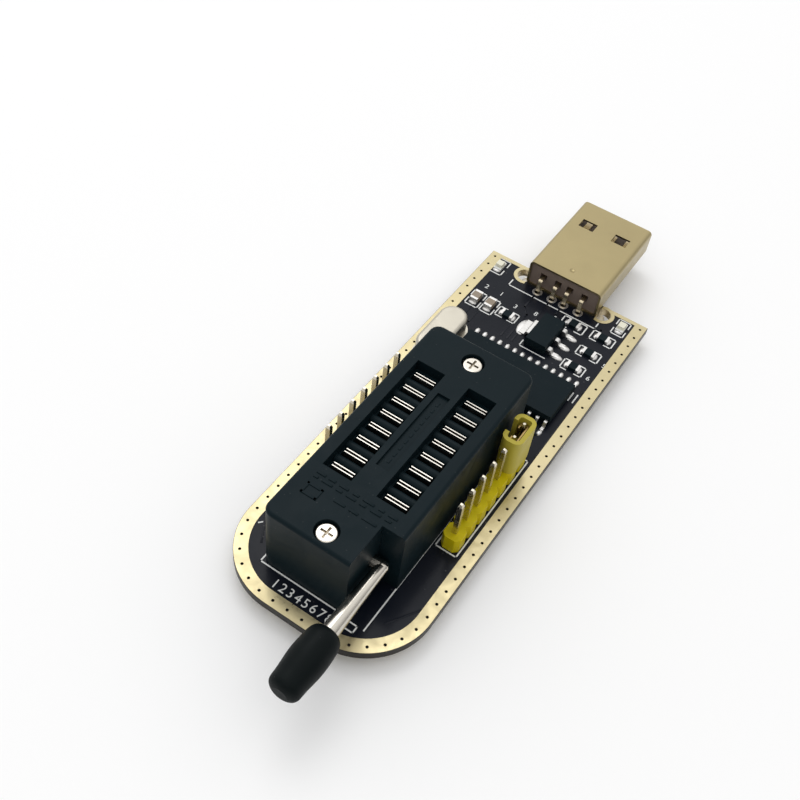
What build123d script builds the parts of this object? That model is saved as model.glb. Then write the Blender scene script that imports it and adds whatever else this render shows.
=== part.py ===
"""USB chip programmer: a stick-shaped board with a lever socket, a USB-A plug and pin headers.

Frame: millimetres, +Z up, +Y towards the plug. The origin is the middle of the overall footprint,
at the level that the ends of the soldered leads stand on.
"""
from build123d import *
import os
from math import cos, radians, sin

# ---- driving dimensions -------------------------------------------------------------------------
PITCH = 2.54
FINE_PITCH = 1.27

BOARD_LENGTH = 70.0
BOARD_WIDTH = 27.0
BOARD_THICK = 1.2
ROUND_RADIUS = 9.5
TAIL = 1.9                 # leads below the board
PLUG_REACH = 15.0          # plug beyond the board
KNOB_REACH = 9.6           # lever knob beyond the board
BORDER = 1.85              # bare plated strip round the board
BORDER_AT_PLUG = 0.75
PLATING = 0.05
VIA_INSET = 0.83
VIA_PITCH = 2.12
VIA_RADIUS = 0.2

SHELL_WIDTH = 12.0
SHELL_HEIGHT = 4.5
SHELL_LENGTH = 18.0
SHELL_WALL = 0.3
SHELL_CORNER = 0.7
DIMPLE_BALL = 0.7
DIMPLE_DEPTH = 0.15
DIMPLE_FROM_BACK = 2.1
SHELL_TAB = 1.4            # tab width, and how far it reaches up the shell's side
WINDOW = (2.5, 1.95)
WINDOW_FROM_TIP = 5.16
WINDOW_X = 2.85
TAB_X = 6.7                # plated holes that take the shell's tabs
TAB_FROM_EDGE = 1.8
TAB_HOLE = 1.3
TONGUE = (11.1, 1.85)
USB_PIN_X = (-3.5, -1.0, 1.0, 3.5)
USB_PIN_FROM_EDGE = 3.8

SOCKET_WIDTH = 15.4
SOCKET_LENGTH = 37.0
SOCKET_HEIGHT = 11.0
SOCKET_START = 4.4         # from the round end, as are all the values named AT, NEAR and FAR
SHAFT_AT = 9.6
SCREW_NEAR = 6.5
SCREW_FAR = 38.2
ROWS_AT = 23.95
HEADER_AT = 27.95
CHIP_AT = 47.85
ROW_SPACING = 7.62
POSITIONS = 8
SEAM = 5.0                 # base and cover meet at the shaft's axis
CORNER = 1.4
RIM_ROUND = 0.5

SHAFT_RADIUS = 0.8
CAM_THROW = 0.5
CAM_RADIUS = SHAFT_RADIUS + CAM_THROW + 0.05
CAM_ANGLE = 135.0          # throw from +Y towards +Z, socket closed
CAM_WIDTH = 1.5
CAM_X = (-2.9, 2.25)
ARM_X = 5.9
NOTCH_X = 4.6              # the socket's open corner starts here
NOTCH_LENGTH = 6.4
RUNNING = 0.06             # clearance of what turns or slides
SLIDE_TRAVEL = 2 * CAM_THROW * sin(radians(CAM_ANGLE))
SLIDE_SPARE = 0.15         # room left beyond the travel

LEAF_WIDTH = 3.0
LEAF_THICK = 0.13
LEAF_SPREAD = 0.6          # over the two leaves
LEAF_SLOT = 1.2            # in the cover
LEAF_TOP = 10.0
CHANNEL = (4.1, 20.6)
CHANNEL_DEPTH = 1.7
GROOVE_AT = 24.3
GROOVE = (1.8, 13.8)
GROOVE_DEPTH = 0.4

HEADER_X = 9.65
HEADER_PINS = 7
HEADER_BODY = 2.5
HEADER_HEIGHT = 2.54
PIN = 0.64
PIN_TOP = 8.54
HEADER_HOLE = 0.5
LEAD_HOLE = 0.45
CRYSTAL_X = -9.6
CRYSTAL_AT = 47.7
CRYSTAL_LEADS = 4.88
CRYSTAL_LEAD = 0.21
CRYSTAL_HOLE = 0.35
EDGE_GAP = 0.05            # border stops this far from the cut edge
TAB_LAND = 0.55

# ---- places worked out from them ----------------------------------------------------------------
LENGTH = BOARD_LENGTH + PLUG_REACH + KNOB_REACH
USB_EDGE = LENGTH / 2 - PLUG_REACH
ROUND_EDGE = USB_EDGE - BOARD_LENGTH
TOP = TAIL + BOARD_THICK
TIP = LENGTH / 2
SHELL_BACK = TIP - SHELL_LENGTH
SHELL_MID_Z = TOP + SHELL_HEIGHT / 2


def along(distance):
    """Y of a place that lies this far from the board's round end."""
    return ROUND_EDGE + distance


SOCKET_Y = along(SOCKET_START + SOCKET_LENGTH / 2)
SOCKET_NEAR = along(SOCKET_START)
ROWS_Y = along(ROWS_AT)
SHAFT_Y = along(SHAFT_AT)
SHAFT_Z = TOP + SEAM
HEADER_Y = along(HEADER_AT)
CHIP_Y = along(CHIP_AT)
CRYSTAL_Y = along(CRYSTAL_AT)
NOTCH_END = SOCKET_NEAR + NOTCH_LENGTH
SCREW_YS = (along(SCREW_NEAR), along(SCREW_FAR))
COLUMN_XS = (-ROW_SPACING / 2, ROW_SPACING / 2)
SOCKET_PIN_SPOTS = [
    (x, ROWS_Y + (row - (POSITIONS - 1) / 2) * PITCH)
    for x in COLUMN_XS
    for row in range(POSITIONS)
]
HEADER_SPOTS = [HEADER_Y + (k - (HEADER_PINS - 1) / 2) * PITCH for k in range(HEADER_PINS)]

os.makedirs("parts", exist_ok=True)


def keep(builder, name):
    """Label a finished piece and write its STEP file."""
    builder.part.label = name
    export_step(builder.part, f"parts/{name}.step")


def level(height):
    """Horizontal plane this far above the board's top."""
    return Plane.XY.offset(TOP + height)


def across(y, z=0.0):
    """Upright plane at this Y that looks towards the plug, its own up being +Z."""
    return Plane(origin=(0, y, z), x_dir=(-1, 0, 0), z_dir=(0, 1, 0))


def sideways(x):
    """Upright plane at this X, with +Y to its right and +Z up."""
    return Plane(origin=(x, 0, 0), x_dir=(0, 1, 0), z_dir=(1, 0, 0))


# ---- printed circuit board ----------------------------------------------------------------------
def outline_path(inset, plug_inset=0.0):
    """Open path down one long side, round the end and back up the other side."""
    side = BOARD_WIDTH / 2 - inset
    low = ROUND_EDGE + inset
    high = USB_EDGE - plug_inset
    with BuildLine() as path:
        FilletPolyline(
            (-side, high), (-side, low), (side, low), (side, high), radius=ROUND_RADIUS - inset
        )
    return path.wire()


def board_shape(inset=0.0, plug_inset=0.0, mode=Mode.ADD):
    """Add the board's outline, moved in by the insets, to the open sketch."""
    path = outline_path(inset, plug_inset)
    plug_end = Line(path @ 0, path @ 1)
    make_face([*path.edges(), plug_end], mode=mode)


VIA_LINE = outline_path(VIA_INSET)
VIA_COUNT = round(VIA_LINE.length / VIA_PITCH)
VIA_SPOTS = [
    (spot.X, spot.Y)
    for spot in (VIA_LINE.position_at((k + 0.5) / VIA_COUNT) for k in range(VIA_COUNT))
]
TAB_SPOTS = [(side * TAB_X, USB_EDGE - TAB_FROM_EDGE) for side in (-1, 1)]
USB_PIN_SPOTS = [(x, USB_EDGE - USB_PIN_FROM_EDGE) for x in USB_PIN_X]
PIN_SPOTS = [(side * HEADER_X, y) for side in (-1, 1) for y in HEADER_SPOTS]
CRYSTAL_LEAD_SPOTS = [(CRYSTAL_X, CRYSTAL_Y + side * CRYSTAL_LEADS / 2) for side in (-1, 1)]

with BuildPart() as circuit_board:
    with BuildSketch(Plane.XY.offset(TAIL)):
        board_shape()
        with Locations(*VIA_SPOTS):
            Circle(VIA_RADIUS, mode=Mode.SUBTRACT)
        with Locations(*SOCKET_PIN_SPOTS, *USB_PIN_SPOTS):
            Circle(LEAD_HOLE, mode=Mode.SUBTRACT)
        with Locations(*PIN_SPOTS):
            Circle(HEADER_HOLE, mode=Mode.SUBTRACT)
        with Locations(*CRYSTAL_LEAD_SPOTS):
            Circle(CRYSTAL_HOLE, mode=Mode.SUBTRACT)
        with Locations(*TAB_SPOTS):
            Circle(TAB_HOLE, mode=Mode.SUBTRACT)
    extrude(amount=BOARD_THICK)
keep(circuit_board, "circuit_board")


def border(bottom, name):
    """Bare plated strip round one face, with the lands of the plug's two tab holes."""
    with BuildPart() as strip:
        with BuildSketch(Plane.XY.offset(bottom)):
            board_shape(EDGE_GAP, EDGE_GAP)
            board_shape(BORDER, BORDER_AT_PLUG, mode=Mode.SUBTRACT)
            with Locations(*TAB_SPOTS):
                Circle(TAB_HOLE + TAB_LAND)
            with Locations(*VIA_SPOTS):
                Circle(VIA_RADIUS, mode=Mode.SUBTRACT)
            with Locations(*TAB_SPOTS):
                Circle(TAB_HOLE, mode=Mode.SUBTRACT)
            with Locations((0, USB_EDGE)):
                Rectangle(SHELL_WIDTH + RUNNING, 4 * BORDER, mode=Mode.SUBTRACT)
        extrude(amount=PLATING)
    keep(strip, name)


border(TOP, "gold_border_top")
border(TAIL - PLATING, "gold_border_bottom")

# ---- USB-A plug ---------------------------------------------------------------------------------
TONGUE_TOP = TOP + SHELL_WALL + TONGUE[1]
CONTACT_THICK = 0.25
HOUSING_BACK = SHELL_BACK + 0.25
HOUSING_DEEP = 5.0
TONGUE_SHORT = 0.5         # tongue ends this far inside the tip
CONTACT_WIDTH = 0.6
CONTACT_PAD = 1.0
CONTACT_SLOT = 0.72
REAR_HOLE = 1.1
REAR_HOLE_DEPTH = 0.8
OUTER_PAD_BACK = 1.2       # contact pads stop this far from the tip
INNER_PAD_BACK = 2.2

with BuildPart() as usb_shell:
    with BuildSketch(across(SHELL_BACK, SHELL_MID_Z)):
        RectangleRounded(SHELL_WIDTH, SHELL_HEIGHT, SHELL_CORNER)
        RectangleRounded(
            SHELL_WIDTH - 2 * SHELL_WALL,
            SHELL_HEIGHT - 2 * SHELL_WALL,
            SHELL_CORNER - SHELL_WALL,
            mode=Mode.SUBTRACT,
        )
    extrude(amount=SHELL_LENGTH)
    with BuildSketch(Plane.XY.offset(TOP)):
        with Locations(*[(side * WINDOW_X, TIP - WINDOW_FROM_TIP) for side in (-1, 1)]):
            Rectangle(*WINDOW)
    extrude(amount=SHELL_HEIGHT, mode=Mode.SUBTRACT)
    dimple_z = TOP + SHELL_HEIGHT + DIMPLE_BALL - DIMPLE_DEPTH
    with Locations((0, SHELL_BACK + DIMPLE_FROM_BACK, dimple_z)):
        Sphere(DIMPLE_BALL, mode=Mode.SUBTRACT)
    with Locations(*[
        (side * (SHELL_WIDTH - SHELL_WALL) / 2, USB_EDGE - TAB_FROM_EDGE, (TOP + SHELL_TAB) / 2)
        for side in (-1, 1)
    ]):
        Box(SHELL_WALL, SHELL_TAB, TOP + SHELL_TAB)
keep(usb_shell, "usb_shell")

with BuildPart() as usb_housing:
    with BuildSketch(across(HOUSING_BACK, SHELL_MID_Z)):
        RectangleRounded(
            SHELL_WIDTH - 2 * SHELL_WALL,
            SHELL_HEIGHT - 2 * SHELL_WALL,
            SHELL_CORNER - SHELL_WALL,
        )
    extrude(amount=HOUSING_DEEP)
    with BuildSketch(across(HOUSING_BACK, SHELL_MID_Z)):
        RectangleRounded(
            TONGUE[0],
            SHELL_HEIGHT - 2 * SHELL_WALL,
            SHELL_CORNER - SHELL_WALL,
        )
        with Locations((0, TONGUE_TOP - SHELL_MID_Z + SHELL_HEIGHT / 2)):
            Rectangle(SHELL_WIDTH, SHELL_HEIGHT, mode=Mode.SUBTRACT)
    extrude(amount=TIP - TONGUE_SHORT - HOUSING_BACK)
    with Locations(*[
        (x, HOUSING_BACK + HOUSING_DEEP / 2, TONGUE_TOP + CONTACT_THICK / 2) for x in USB_PIN_X
    ]):
        Box(CONTACT_SLOT, HOUSING_DEEP, CONTACT_THICK + 0.1, mode=Mode.SUBTRACT)
    with Locations(*[(x, HOUSING_BACK, TONGUE_TOP + 0.2) for x in USB_PIN_X]):
        Box(REAR_HOLE, 2 * REAR_HOLE_DEPTH, REAR_HOLE, mode=Mode.SUBTRACT)
keep(usb_housing, "usb_housing")

for number, x in enumerate(USB_PIN_X, start=1):
    pad_end = TIP - (OUTER_PAD_BACK if number in (1, 4) else INNER_PAD_BACK)
    pad_start = HOUSING_BACK + HOUSING_DEEP + 0.4
    tail_y = USB_EDGE - USB_PIN_FROM_EDGE
    with BuildPart() as usb_contact:
        with BuildSketch(sideways(x)):
            with BuildLine():
                bent = FilletPolyline(
                    (pad_end, TONGUE_TOP + CONTACT_THICK / 2),
                    (tail_y, TONGUE_TOP + CONTACT_THICK / 2),
                    (tail_y, CONTACT_THICK / 2),
                    radius=0.35,
                )
                offset(bent, amount=CONTACT_THICK / 2, side=Side.BOTH)
            make_face()
        extrude(amount=CONTACT_WIDTH / 2, both=True)
        with Locations((x, (pad_start + pad_end) / 2, TONGUE_TOP + CONTACT_THICK / 2)):
            Box(CONTACT_PAD, pad_end - pad_start, CONTACT_THICK)
    keep(usb_contact, f"usb_contact_{number}")

# ---- lever socket: base and cover ---------------------------------------------------------------
PLATE_X = 6.3
PLATE_THICK = 2.0
PLATE_LOW = TOP + SEAM + RUNNING
PLATE_NEAR = ROWS_Y - POSITIONS / 2 * PITCH - 1.2
PLATE_FAR = ROWS_Y + POSITIONS / 2 * PITCH + 0.9
CAM_REACH = SHAFT_Z + CAM_THROW + CAM_RADIUS + RUNNING
FORK_TOP = CAM_REACH + 0.94
FORK_LOW = SHAFT_Z - 1.0
FORK_WIDTH = 1.4
FORK_FAR = PLATE_NEAR + 0.8
CAM_Y = SHAFT_Y + CAM_THROW * cos(radians(CAM_ANGLE))
CAM_Z = SHAFT_Z + CAM_THROW * sin(radians(CAM_ANGLE))
FORK_SLOT = 2 * (CAM_RADIUS + RUNNING + 0.02)
FORK_NEAR = CAM_Y - FORK_SLOT / 2 - 0.6
BOSS_RADIUS = 1.45
SCREW_SHANK = 0.8
SCREW_HEAD = 1.4
HEAD_THICK = 0.9
HEAD_DOWN = 0.35
CROSS_SLOT = (1.7, 0.32)
CROSS_DEPTH = 0.5
SCREW_END = 0.8            # above the board
INNER_WALL_X = NOTCH_X - 0.8
BORE = SHAFT_RADIUS + RUNNING
SHAFT_END = -SOCKET_WIDTH / 2 + 0.7


def socket_block(low, high):
    """Outer block of the socket, with the open corner where the lever swings."""
    with BuildSketch(level(low)) as block:
        with Locations((0, SOCKET_Y)):
            RectangleRounded(SOCKET_WIDTH, SOCKET_LENGTH, CORNER)
        with Locations(((NOTCH_X + SOCKET_WIDTH) / 2, (NOTCH_END + SOCKET_NEAR - CORNER) / 2)):
            Rectangle(
                SOCKET_WIDTH - NOTCH_X,
                NOTCH_END - SOCKET_NEAR + CORNER,
                mode=Mode.SUBTRACT,
            )
    extrude(block.sketch, amount=high - low)


def fork_room(low, high):
    """Room for the cam forks between the near screw's boss and the contact rows."""
    near = FORK_NEAR - RUNNING
    far = FORK_FAR + SLIDE_TRAVEL + SLIDE_SPARE
    with BuildSketch(Plane.XY.offset(low)) as room:
        with Locations(((INNER_WALL_X - PLATE_X) / 2, (near + far) / 2)):
            Rectangle(INNER_WALL_X + PLATE_X, far - near)
        with Locations((0, SCREW_YS[0])):
            Circle(BOSS_RADIUS, mode=Mode.SUBTRACT)
    extrude(room.sketch, amount=high - low, mode=Mode.SUBTRACT)


def shaft_bore():
    """Half of the lever's bearing, from the far end of the shaft to the open corner."""
    with BuildSketch(sideways(SHAFT_END - RUNNING)) as bore:
        with Locations((SHAFT_Y, SHAFT_Z)):
            Circle(BORE)
    extrude(bore.sketch, amount=NOTCH_X - SHAFT_END + 1, mode=Mode.SUBTRACT)


FLOOR = 1.3

with BuildPart() as zif_base:
    socket_block(0, SEAM)
    with BuildSketch(level(FLOOR)):
        with Locations(*[(x, ROWS_Y) for x in COLUMN_XS]):
            Rectangle(LEAF_WIDTH + 0.9, POSITIONS * PITCH + 0.4)
    extrude(amount=SEAM - FLOOR, mode=Mode.SUBTRACT)
    fork_room(FORK_LOW - RUNNING, TOP + SEAM)
    shaft_bore()
    with Locations(*[(x, y, TOP + FLOOR / 2) for x, y in SOCKET_PIN_SPOTS]):
        Box(0.7, 0.5, FLOOR, mode=Mode.SUBTRACT)
    with Locations(*[(0, y, TOP + SEAM) for y in SCREW_YS]):
        Hole(SCREW_SHANK, depth=SEAM - 0.6)
keep(zif_base, "zif_base")

with BuildPart() as zif_cover:
    socket_block(SEAM, SOCKET_HEIGHT)
    rim = zif_cover.faces().sort_by(Axis.Z)[-1].edges()
    fillet(rim.filter_by(lambda edge: edge.center().X < NOTCH_X - 0.1), RIM_ROUND)
    with BuildSketch(level(SEAM)):
        low_y = PLATE_NEAR - RUNNING
        high_y = PLATE_FAR + SLIDE_TRAVEL + SLIDE_SPARE
        with Locations((0, (low_y + high_y) / 2)):
            Rectangle(2 * (PLATE_X + RUNNING), high_y - low_y)
    extrude(amount=PLATE_THICK + 3 * RUNNING, mode=Mode.SUBTRACT)
    fork_room(TOP + SEAM, FORK_TOP + RUNNING)
    shaft_bore()
    with BuildSketch(level(SOCKET_HEIGHT - CHANNEL_DEPTH)):
        with Locations(*[(x, ROWS_Y) for x in COLUMN_XS]):
            Rectangle(*CHANNEL)
    extrude(amount=CHANNEL_DEPTH, mode=Mode.SUBTRACT)
    with BuildSketch(level(SEAM)):
        with Locations(*SOCKET_PIN_SPOTS):
            Rectangle(CHANNEL[0] - 0.4, LEAF_SLOT)
    extrude(amount=SOCKET_HEIGHT - SEAM, mode=Mode.SUBTRACT)
    with BuildSketch(level(SOCKET_HEIGHT)):
        with Locations((0, along(GROOVE_AT))):
            Rectangle(*GROOVE)
    extrude(amount=-GROOVE_DEPTH, mode=Mode.SUBTRACT)
    with Locations(*[(0, y, TOP + SOCKET_HEIGHT) for y in SCREW_YS]):
        CounterBoreHole(SCREW_SHANK, SCREW_HEAD + 0.15, HEAD_THICK + HEAD_DOWN, depth=SOCKET_HEIGHT)
keep(zif_cover, "zif_cover")

with BuildPart() as zif_screws:
    for y in SCREW_YS:
        head_top = SOCKET_HEIGHT - HEAD_DOWN
        with BuildSketch(level(head_top - HEAD_THICK)):
            with Locations((0, y)):
                Circle(SCREW_HEAD)
        extrude(amount=HEAD_THICK)
        with BuildSketch(level(SCREW_END)):
            with Locations((0, y)):
                Circle(SCREW_SHANK - 0.02)
        extrude(amount=head_top - HEAD_THICK - SCREW_END)
        with BuildSketch(level(head_top)):
            with Locations((0, y)):
                Rectangle(*CROSS_SLOT)
                Rectangle(*CROSS_SLOT, rotation=90)
        extrude(amount=-CROSS_DEPTH, taper=8, mode=Mode.SUBTRACT)
    tops = zif_screws.faces().filter_by(Plane.XY).group_by(Axis.Z)[-1]
    rims = tops.edges().filter_by(GeomType.CIRCLE)
    fillet(rims, 0.3)
keep(zif_screws, "zif_screws")

# ---- lever socket: slide plate, lever, contacts -------------------------------------------------
WINDOW_Y = LEAF_SPREAD + SLIDE_TRAVEL + 2 * RUNNING

with BuildPart() as zif_slide_plate:
    with BuildSketch(Plane.XY.offset(PLATE_LOW)):
        with Locations((0, (PLATE_NEAR + PLATE_FAR) / 2)):
            Rectangle(2 * PLATE_X, PLATE_FAR - PLATE_NEAR)
    extrude(amount=PLATE_THICK)
    for x in CAM_X:
        with BuildSketch(Plane.XY.offset(FORK_LOW)):
            with Locations((x, (FORK_NEAR + FORK_FAR) / 2)):
                Rectangle(FORK_WIDTH, FORK_FAR - FORK_NEAR)
        extrude(amount=FORK_TOP - FORK_LOW)
        with Locations((x, CAM_Y, (FORK_LOW + CAM_REACH) / 2)):
            Box(FORK_WIDTH, FORK_SLOT, CAM_REACH - FORK_LOW, mode=Mode.SUBTRACT)
    with BuildSketch(Plane.XY.offset(PLATE_LOW)):
        with Locations(*[
            (x, y - LEAF_SPREAD / 2 - SLIDE_TRAVEL - RUNNING + WINDOW_Y / 2)
            for x, y in SOCKET_PIN_SPOTS
        ]):
            Rectangle(LEAF_WIDTH + 0.6, WINDOW_Y)
    extrude(amount=PLATE_THICK, mode=Mode.SUBTRACT)
keep(zif_slide_plate, "zif_slide_plate")

KNOB_START = -TIP + 8.8
ROD_TIP_RADIUS = 1.1
ROD_IN_KNOB = 6.0
ELBOW_RADIUS = SHAFT_RADIUS + 0.04

with BuildPart() as zif_lever:
    with BuildSketch(sideways(SHAFT_END)):
        with Locations((SHAFT_Y, SHAFT_Z)):
            Circle(SHAFT_RADIUS)
    extrude(amount=ARM_X - SHAFT_END)
    for x in CAM_X:
        with BuildSketch(sideways(x - CAM_WIDTH / 2)):
            with Locations((CAM_Y, CAM_Z)):
                Circle(CAM_RADIUS)
        extrude(amount=CAM_WIDTH)
    with Locations((ARM_X, SHAFT_Y, SHAFT_Z)):
        Sphere(ELBOW_RADIUS)
    with BuildSketch(Plane.XY.offset(SHAFT_Z)):
        with BuildLine():
            Polyline(
                (ARM_X, SHAFT_Y),
                (ARM_X + SHAFT_RADIUS, SHAFT_Y),
                (ARM_X + ROD_TIP_RADIUS, KNOB_START),
                (ARM_X + ROD_TIP_RADIUS, KNOB_START - ROD_IN_KNOB),
                (ARM_X, KNOB_START - ROD_IN_KNOB),
                close=True,
            )
        make_face()
    revolve(axis=Axis((ARM_X, SHAFT_Y, SHAFT_Z), (0, 1, 0)))
keep(zif_lever, "zif_lever")

KNOB_RADIUS = 2.3
KNOB_SHOULDER = 1.3
KNOB_END = 1.0
with BuildPart() as zif_lever_knob:
    with BuildSketch(Plane.XY.offset(SHAFT_Z)):
        with BuildLine():
            Line((ARM_X, KNOB_START), (ARM_X + KNOB_SHOULDER, KNOB_START))
            Spline(
                (ARM_X + KNOB_SHOULDER, KNOB_START),
                (ARM_X + KNOB_RADIUS - 0.1, KNOB_START - 1.8),
                (ARM_X + KNOB_RADIUS, KNOB_START - 4.4),
                (ARM_X + KNOB_RADIUS - 0.25, -TIP + 1.5),
                (ARM_X + KNOB_END, -TIP),
                tangents=((1.0, -0.3), (-1.0, -0.3)),
            )
            Line((ARM_X + KNOB_END, -TIP), (ARM_X, -TIP))
            Line((ARM_X, -TIP), (ARM_X, KNOB_START))
        make_face()
    revolve(axis=Axis((ARM_X, SHAFT_Y, SHAFT_Z), (0, 1, 0)))
    with BuildSketch(across(KNOB_START, SHAFT_Z)):
        with Locations((-ARM_X, 0)):
            Circle(ROD_TIP_RADIUS)
    extrude(amount=-ROD_IN_KNOB, mode=Mode.SUBTRACT)
keep(zif_lever_knob, "zif_lever_knob")

for number, (x, y) in enumerate(SOCKET_PIN_SPOTS, start=1):
    outer = LEAF_SPREAD / 2
    inner = outer - LEAF_THICK
    foot = TOP + FLOOR
    with BuildPart() as zif_contact:
        with BuildSketch(sideways(x - LEAF_WIDTH / 2)):
            with Locations((y, (foot + TOP + LEAF_TOP) / 2)):
                Rectangle(LEAF_SPREAD, TOP + LEAF_TOP - foot)
            with Locations((y, (foot + 0.3 + TOP + LEAF_TOP) / 2)):
                Rectangle(2 * inner, TOP + LEAF_TOP - foot - 0.3, mode=Mode.SUBTRACT)
        extrude(amount=LEAF_WIDTH)
        with Locations((x, y, (foot + 0.1) / 2)):
            Box(0.5, 0.3, foot + 0.1)
    keep(zif_contact, f"zif_contact_{number:02d}")

# ---- pin headers and jumper ---------------------------------------------------------------------
JUMPER_Y = (HEADER_SPOTS[-1] + HEADER_SPOTS[-2]) / 2
JUMPER = (2.9, 5.1)
JUMPER_HEIGHT = 6.2
JUMPER_WALL = 0.6
JUMPER_SLIT = 2.2
JUMPER_SILL = 1.5          # the slit starts this far up
CLIP_SHEET = 0.2
CLIP_GAP = 0.05


def header(side, name):
    """One seven-way header: moulded body with its pins driven through."""
    with BuildPart() as body:
        with BuildSketch(level(0)):
            with Locations((side * HEADER_X, HEADER_Y)):
                Rectangle(HEADER_BODY, HEADER_PINS * PITCH)
            for k in range(HEADER_PINS + 1):
                y = HEADER_Y + (k - HEADER_PINS / 2) * PITCH
                with Locations(*[(side * HEADER_X + s * HEADER_BODY / 2, y) for s in (-1, 1)]):
                    Rectangle(0.75, 0.75, rotation=45, mode=Mode.SUBTRACT)
            with Locations(*[(side * HEADER_X, y) for y in HEADER_SPOTS]):
                Rectangle(PIN, PIN, mode=Mode.SUBTRACT)
        extrude(amount=HEADER_HEIGHT)
    keep(body, f"header_body_{name}")
    with BuildPart() as pins:
        with BuildSketch():
            with Locations(*[(side * HEADER_X, y) for y in HEADER_SPOTS]):
                Rectangle(PIN, PIN)
        extrude(amount=TOP + PIN_TOP)
        ends = pins.faces().filter_by(Plane.XY)
        chamfer(ends.group_by(Axis.Z)[-1].edges(), 0.4, 0.16)
        chamfer(ends.group_by(Axis.Z)[0].edges(), 0.16)
    keep(pins, f"header_pins_{name}")


header(-1, "left")
header(1, "right")

with BuildPart() as jumper_cap:
    with BuildSketch(level(HEADER_HEIGHT)):
        with Locations((HEADER_X, JUMPER_Y)):
            RectangleRounded(*JUMPER, 1.1)
            RectangleRounded(
                JUMPER[0] - 2 * JUMPER_WALL,
                JUMPER[1] - 2 * JUMPER_WALL,
                0.4,
                mode=Mode.SUBTRACT,
            )
    extrude(amount=JUMPER_HEIGHT)
    with BuildSketch(level(HEADER_HEIGHT + JUMPER_SILL)):
        with Locations((HEADER_X - JUMPER[0] / 2, JUMPER_Y)):
            Rectangle(2 * JUMPER_WALL + 0.2, JUMPER_SLIT)
    extrude(amount=JUMPER_HEIGHT, mode=Mode.SUBTRACT)
keep(jumper_cap, "jumper_cap")

with BuildPart() as jumper_clip:
    clip_x = PIN / 2 + CLIP_GAP + CLIP_SHEET
    clip_y = PITCH / 2 + PIN / 2 + CLIP_GAP + CLIP_SHEET
    with BuildSketch(level(HEADER_HEIGHT + 0.4)):
        with Locations((HEADER_X, JUMPER_Y)):
            RectangleRounded(2 * clip_x, 2 * clip_y, 0.35)
            RectangleRounded(
                2 * (clip_x - CLIP_SHEET), 2 * (clip_y - CLIP_SHEET), 0.15, mode=Mode.SUBTRACT
            )
        with Locations((HEADER_X - clip_x, JUMPER_Y)):
            Rectangle(0.6, 1.6, mode=Mode.SUBTRACT)
    extrude(amount=JUMPER_HEIGHT - 1.3)
keep(jumper_clip, "jumper_clip")

# ---- bridge chip --------------------------------------------------------------------------------
CHIP = (17.4, 7.5)
CHIP_X = 1.7
CHIP_LOW = 0.12
CHIP_SPLIT = 0.95
CHIP_HEIGHT = 1.75
CHIP_SPAN = 10.3
CHIP_LEAD = (0.42, 0.25)
CHIP_WAYS = 14
LEAD_KNEE = 0.5            # from the body to where a lead turns down
LEAD_DROP = 0.25           # how far out the lead runs while it goes down

with BuildPart() as bridge_chip:
    with BuildSketch(level(CHIP_SPLIT)):
        with Locations((CHIP_X, CHIP_Y)):
            Rectangle(*CHIP)
    extrude(amount=CHIP_HEIGHT - CHIP_SPLIT, taper=7)
    extrude(bridge_chip.faces().sort_by(Axis.Z)[0], amount=CHIP_SPLIT - CHIP_LOW, taper=7)
    with BuildSketch(level(CHIP_HEIGHT)):
        with Locations((CHIP_X - CHIP[0] / 2, CHIP_Y)):
            Circle(1.0)
    extrude(amount=-0.35, mode=Mode.SUBTRACT)
keep(bridge_chip, "bridge_chip")

with BuildPart() as bridge_chip_leads:
    for side in (-1, 1):
        root = CHIP_Y + side * (CHIP[1] / 2)
        toe = CHIP_Y + side * (CHIP_SPAN / 2)
        for way in range(CHIP_WAYS):
            x = CHIP_X + (way - (CHIP_WAYS - 1) / 2) * FINE_PITCH
            with BuildSketch(sideways(x)):
                with BuildLine():
                    gull = FilletPolyline(
                        (root + side * CHIP_LEAD[1] / 2, TOP + CHIP_SPLIT),
                        (root + side * LEAD_KNEE, TOP + CHIP_SPLIT),
                        (root + side * (LEAD_KNEE + LEAD_DROP), TOP + CHIP_LEAD[1] / 2),
                        (toe - side * CHIP_LEAD[1] / 2, TOP + CHIP_LEAD[1] / 2),
                        radius=0.2,
                    )
                    offset(gull, amount=CHIP_LEAD[1] / 2, side=Side.BOTH)
                make_face()
            extrude(amount=CHIP_LEAD[0] / 2, both=True)
keep(bridge_chip_leads, "bridge_chip_leads")

# ---- crystal ------------------------------------------------------------------------------------
CRYSTAL_CAN = (4.2, 10.2)
CRYSTAL_FLANGE = (4.9, 10.9)
CRYSTAL_TOP = 3.5
CRYSTAL_LOW = 0.3
FLANGE_THICK = 0.45

with BuildPart() as crystal_can:
    with BuildSketch(level(CRYSTAL_LOW)):
        with Locations((CRYSTAL_X, CRYSTAL_Y)):
            RectangleRounded(*CRYSTAL_FLANGE, CRYSTAL_FLANGE[0] / 2 - 0.01)
    extrude(amount=FLANGE_THICK)
    with BuildSketch(level(CRYSTAL_LOW + FLANGE_THICK)):
        with Locations((CRYSTAL_X, CRYSTAL_Y)):
            RectangleRounded(*CRYSTAL_CAN, CRYSTAL_CAN[0] / 2 - 0.01)
    extrude(amount=CRYSTAL_TOP - CRYSTAL_LOW - FLANGE_THICK)
    fillet(crystal_can.faces().sort_by(Axis.Z)[-1].edges(), 0.5)
keep(crystal_can, "crystal_can")

with BuildPart() as crystal_seat:
    with BuildSketch(level(PLATING)):
        with Locations((CRYSTAL_X, CRYSTAL_Y)):
            RectangleRounded(*CRYSTAL_CAN, CRYSTAL_CAN[0] / 2 - 0.01)
            with Locations(*[(0, side * CRYSTAL_LEADS / 2) for side in (-1, 1)]):
                Circle(CRYSTAL_LEAD, mode=Mode.SUBTRACT)
    extrude(amount=CRYSTAL_LOW - PLATING)
keep(crystal_seat, "crystal_seat")

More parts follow.
